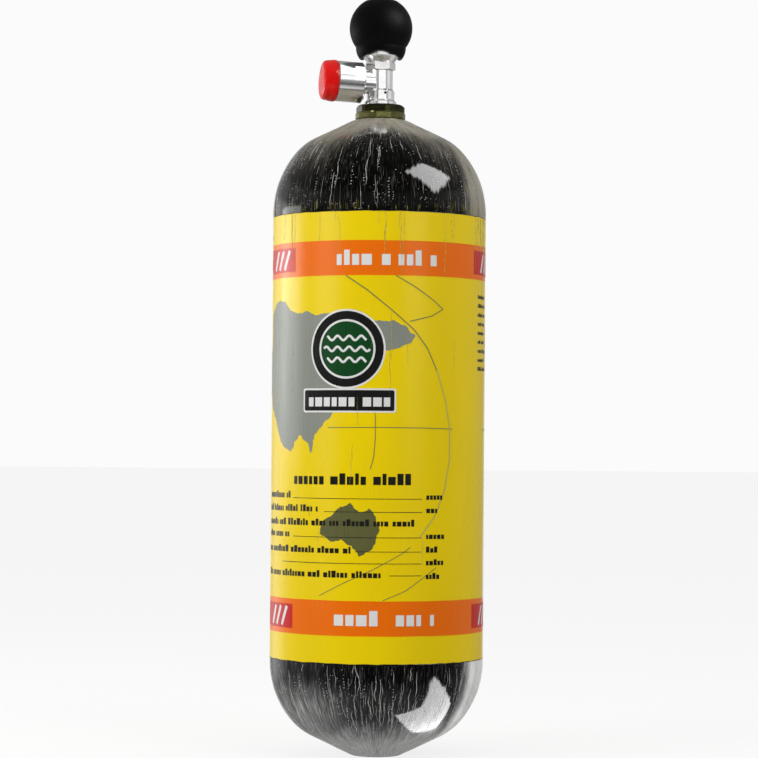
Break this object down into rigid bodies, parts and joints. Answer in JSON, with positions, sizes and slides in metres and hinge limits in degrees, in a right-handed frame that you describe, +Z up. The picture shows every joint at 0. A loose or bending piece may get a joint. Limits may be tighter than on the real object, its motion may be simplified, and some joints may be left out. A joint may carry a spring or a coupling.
{
  "type": "composite breathing air cylinder",
  "caption": "Upright composite breathing-air cylinder with a printed label sleeve, a side-outlet hand valve, a rubber knob and a push-on dust cap.",
  "frame": {"origin": "centre of the flat base that the cylinder stands on", "axes": "+Z up along the cylinder's axis; -Y is the front; the outlet points to -X, 11 degrees towards the front and 3 degrees up"},
  "size_m": [0.182, 0.182, 0.6455],
  "materials": {
    "bare_aluminium": "machined",
    "carbon_fibre": "wound fibre in resin",
    "glass_fibre_resin": "clear wound glass fibre and resin over black, glossy",
    "printed_label": "printed film under resin, glossy",
    "olive_steel": "olive passivated",
    "seal_rubber": "smooth",
    "nickel_plate": "bright nickel plate on a brass forging",
    "steel": "bright",
    "bronze": "plain",
    "brass": "turned",
    "slip_plastic": "plain",
    "black_plastic": "moulded",
    "grip_rubber": "satin, moulded",
    "red_plastic": "soft moulded plastic"
  },
  "bodies": {
    "cylinder": {"liner": "bare_aluminium", "carbon_overwrap": "carbon_fibre", "glass_overwrap": "glass_fibre_resin", "label_sleeve": "printed_label", "neck_ring": "olive_steel", "neck_o_ring": "seal_rubber", "valve_body": "nickel_plate", "dip_tube": "steel", "dip_tube_filter": "bronze", "bonnet_nut": "nickel_plate", "bonnet_washer": "bronze", "thrust_washer": "slip_plastic"},
    "handwheel": {"upper_spindle": "brass", "spindle_o_rings": "seal_rubber", "collar_washer": "slip_plastic", "knob_hub": "black_plastic", "knob_grip": "grip_rubber", "knob_spring": "steel", "spring_washer": "steel", "knob_nut": "steel", "knob_plug": "black_plastic"},
    "seat": {"seat_carrier": "brass", "seat_pad": "slip_plastic"},
    "cap": {"dust_cap": "red_plastic", "cap_gasket": "seal_rubber"}
  },
  "joints": [
    {"name": "knob_turn", "type": "hinge", "parent": "cylinder", "child": "handwheel", "pos_m": [0, 0, 0.6], "axis": [0, 0, 1], "range_deg": [0, 900]},
    {"name": "seat_lift", "type": "slide", "parent": "handwheel", "child": "seat", "axis": [0, 0, 1], "range_m": [0, 0.0032]},
    {"name": "cap_pull", "type": "slide", "parent": "cylinder", "child": "cap", "axis": [-0.9803, -0.1905, 0.0523], "range_m": [0, 0.07]}
  ],
  "couplings": [
    {"joint": "seat_lift", "follows": "knob_turn", "m_per_rad": 0.00019894}
  ]
}
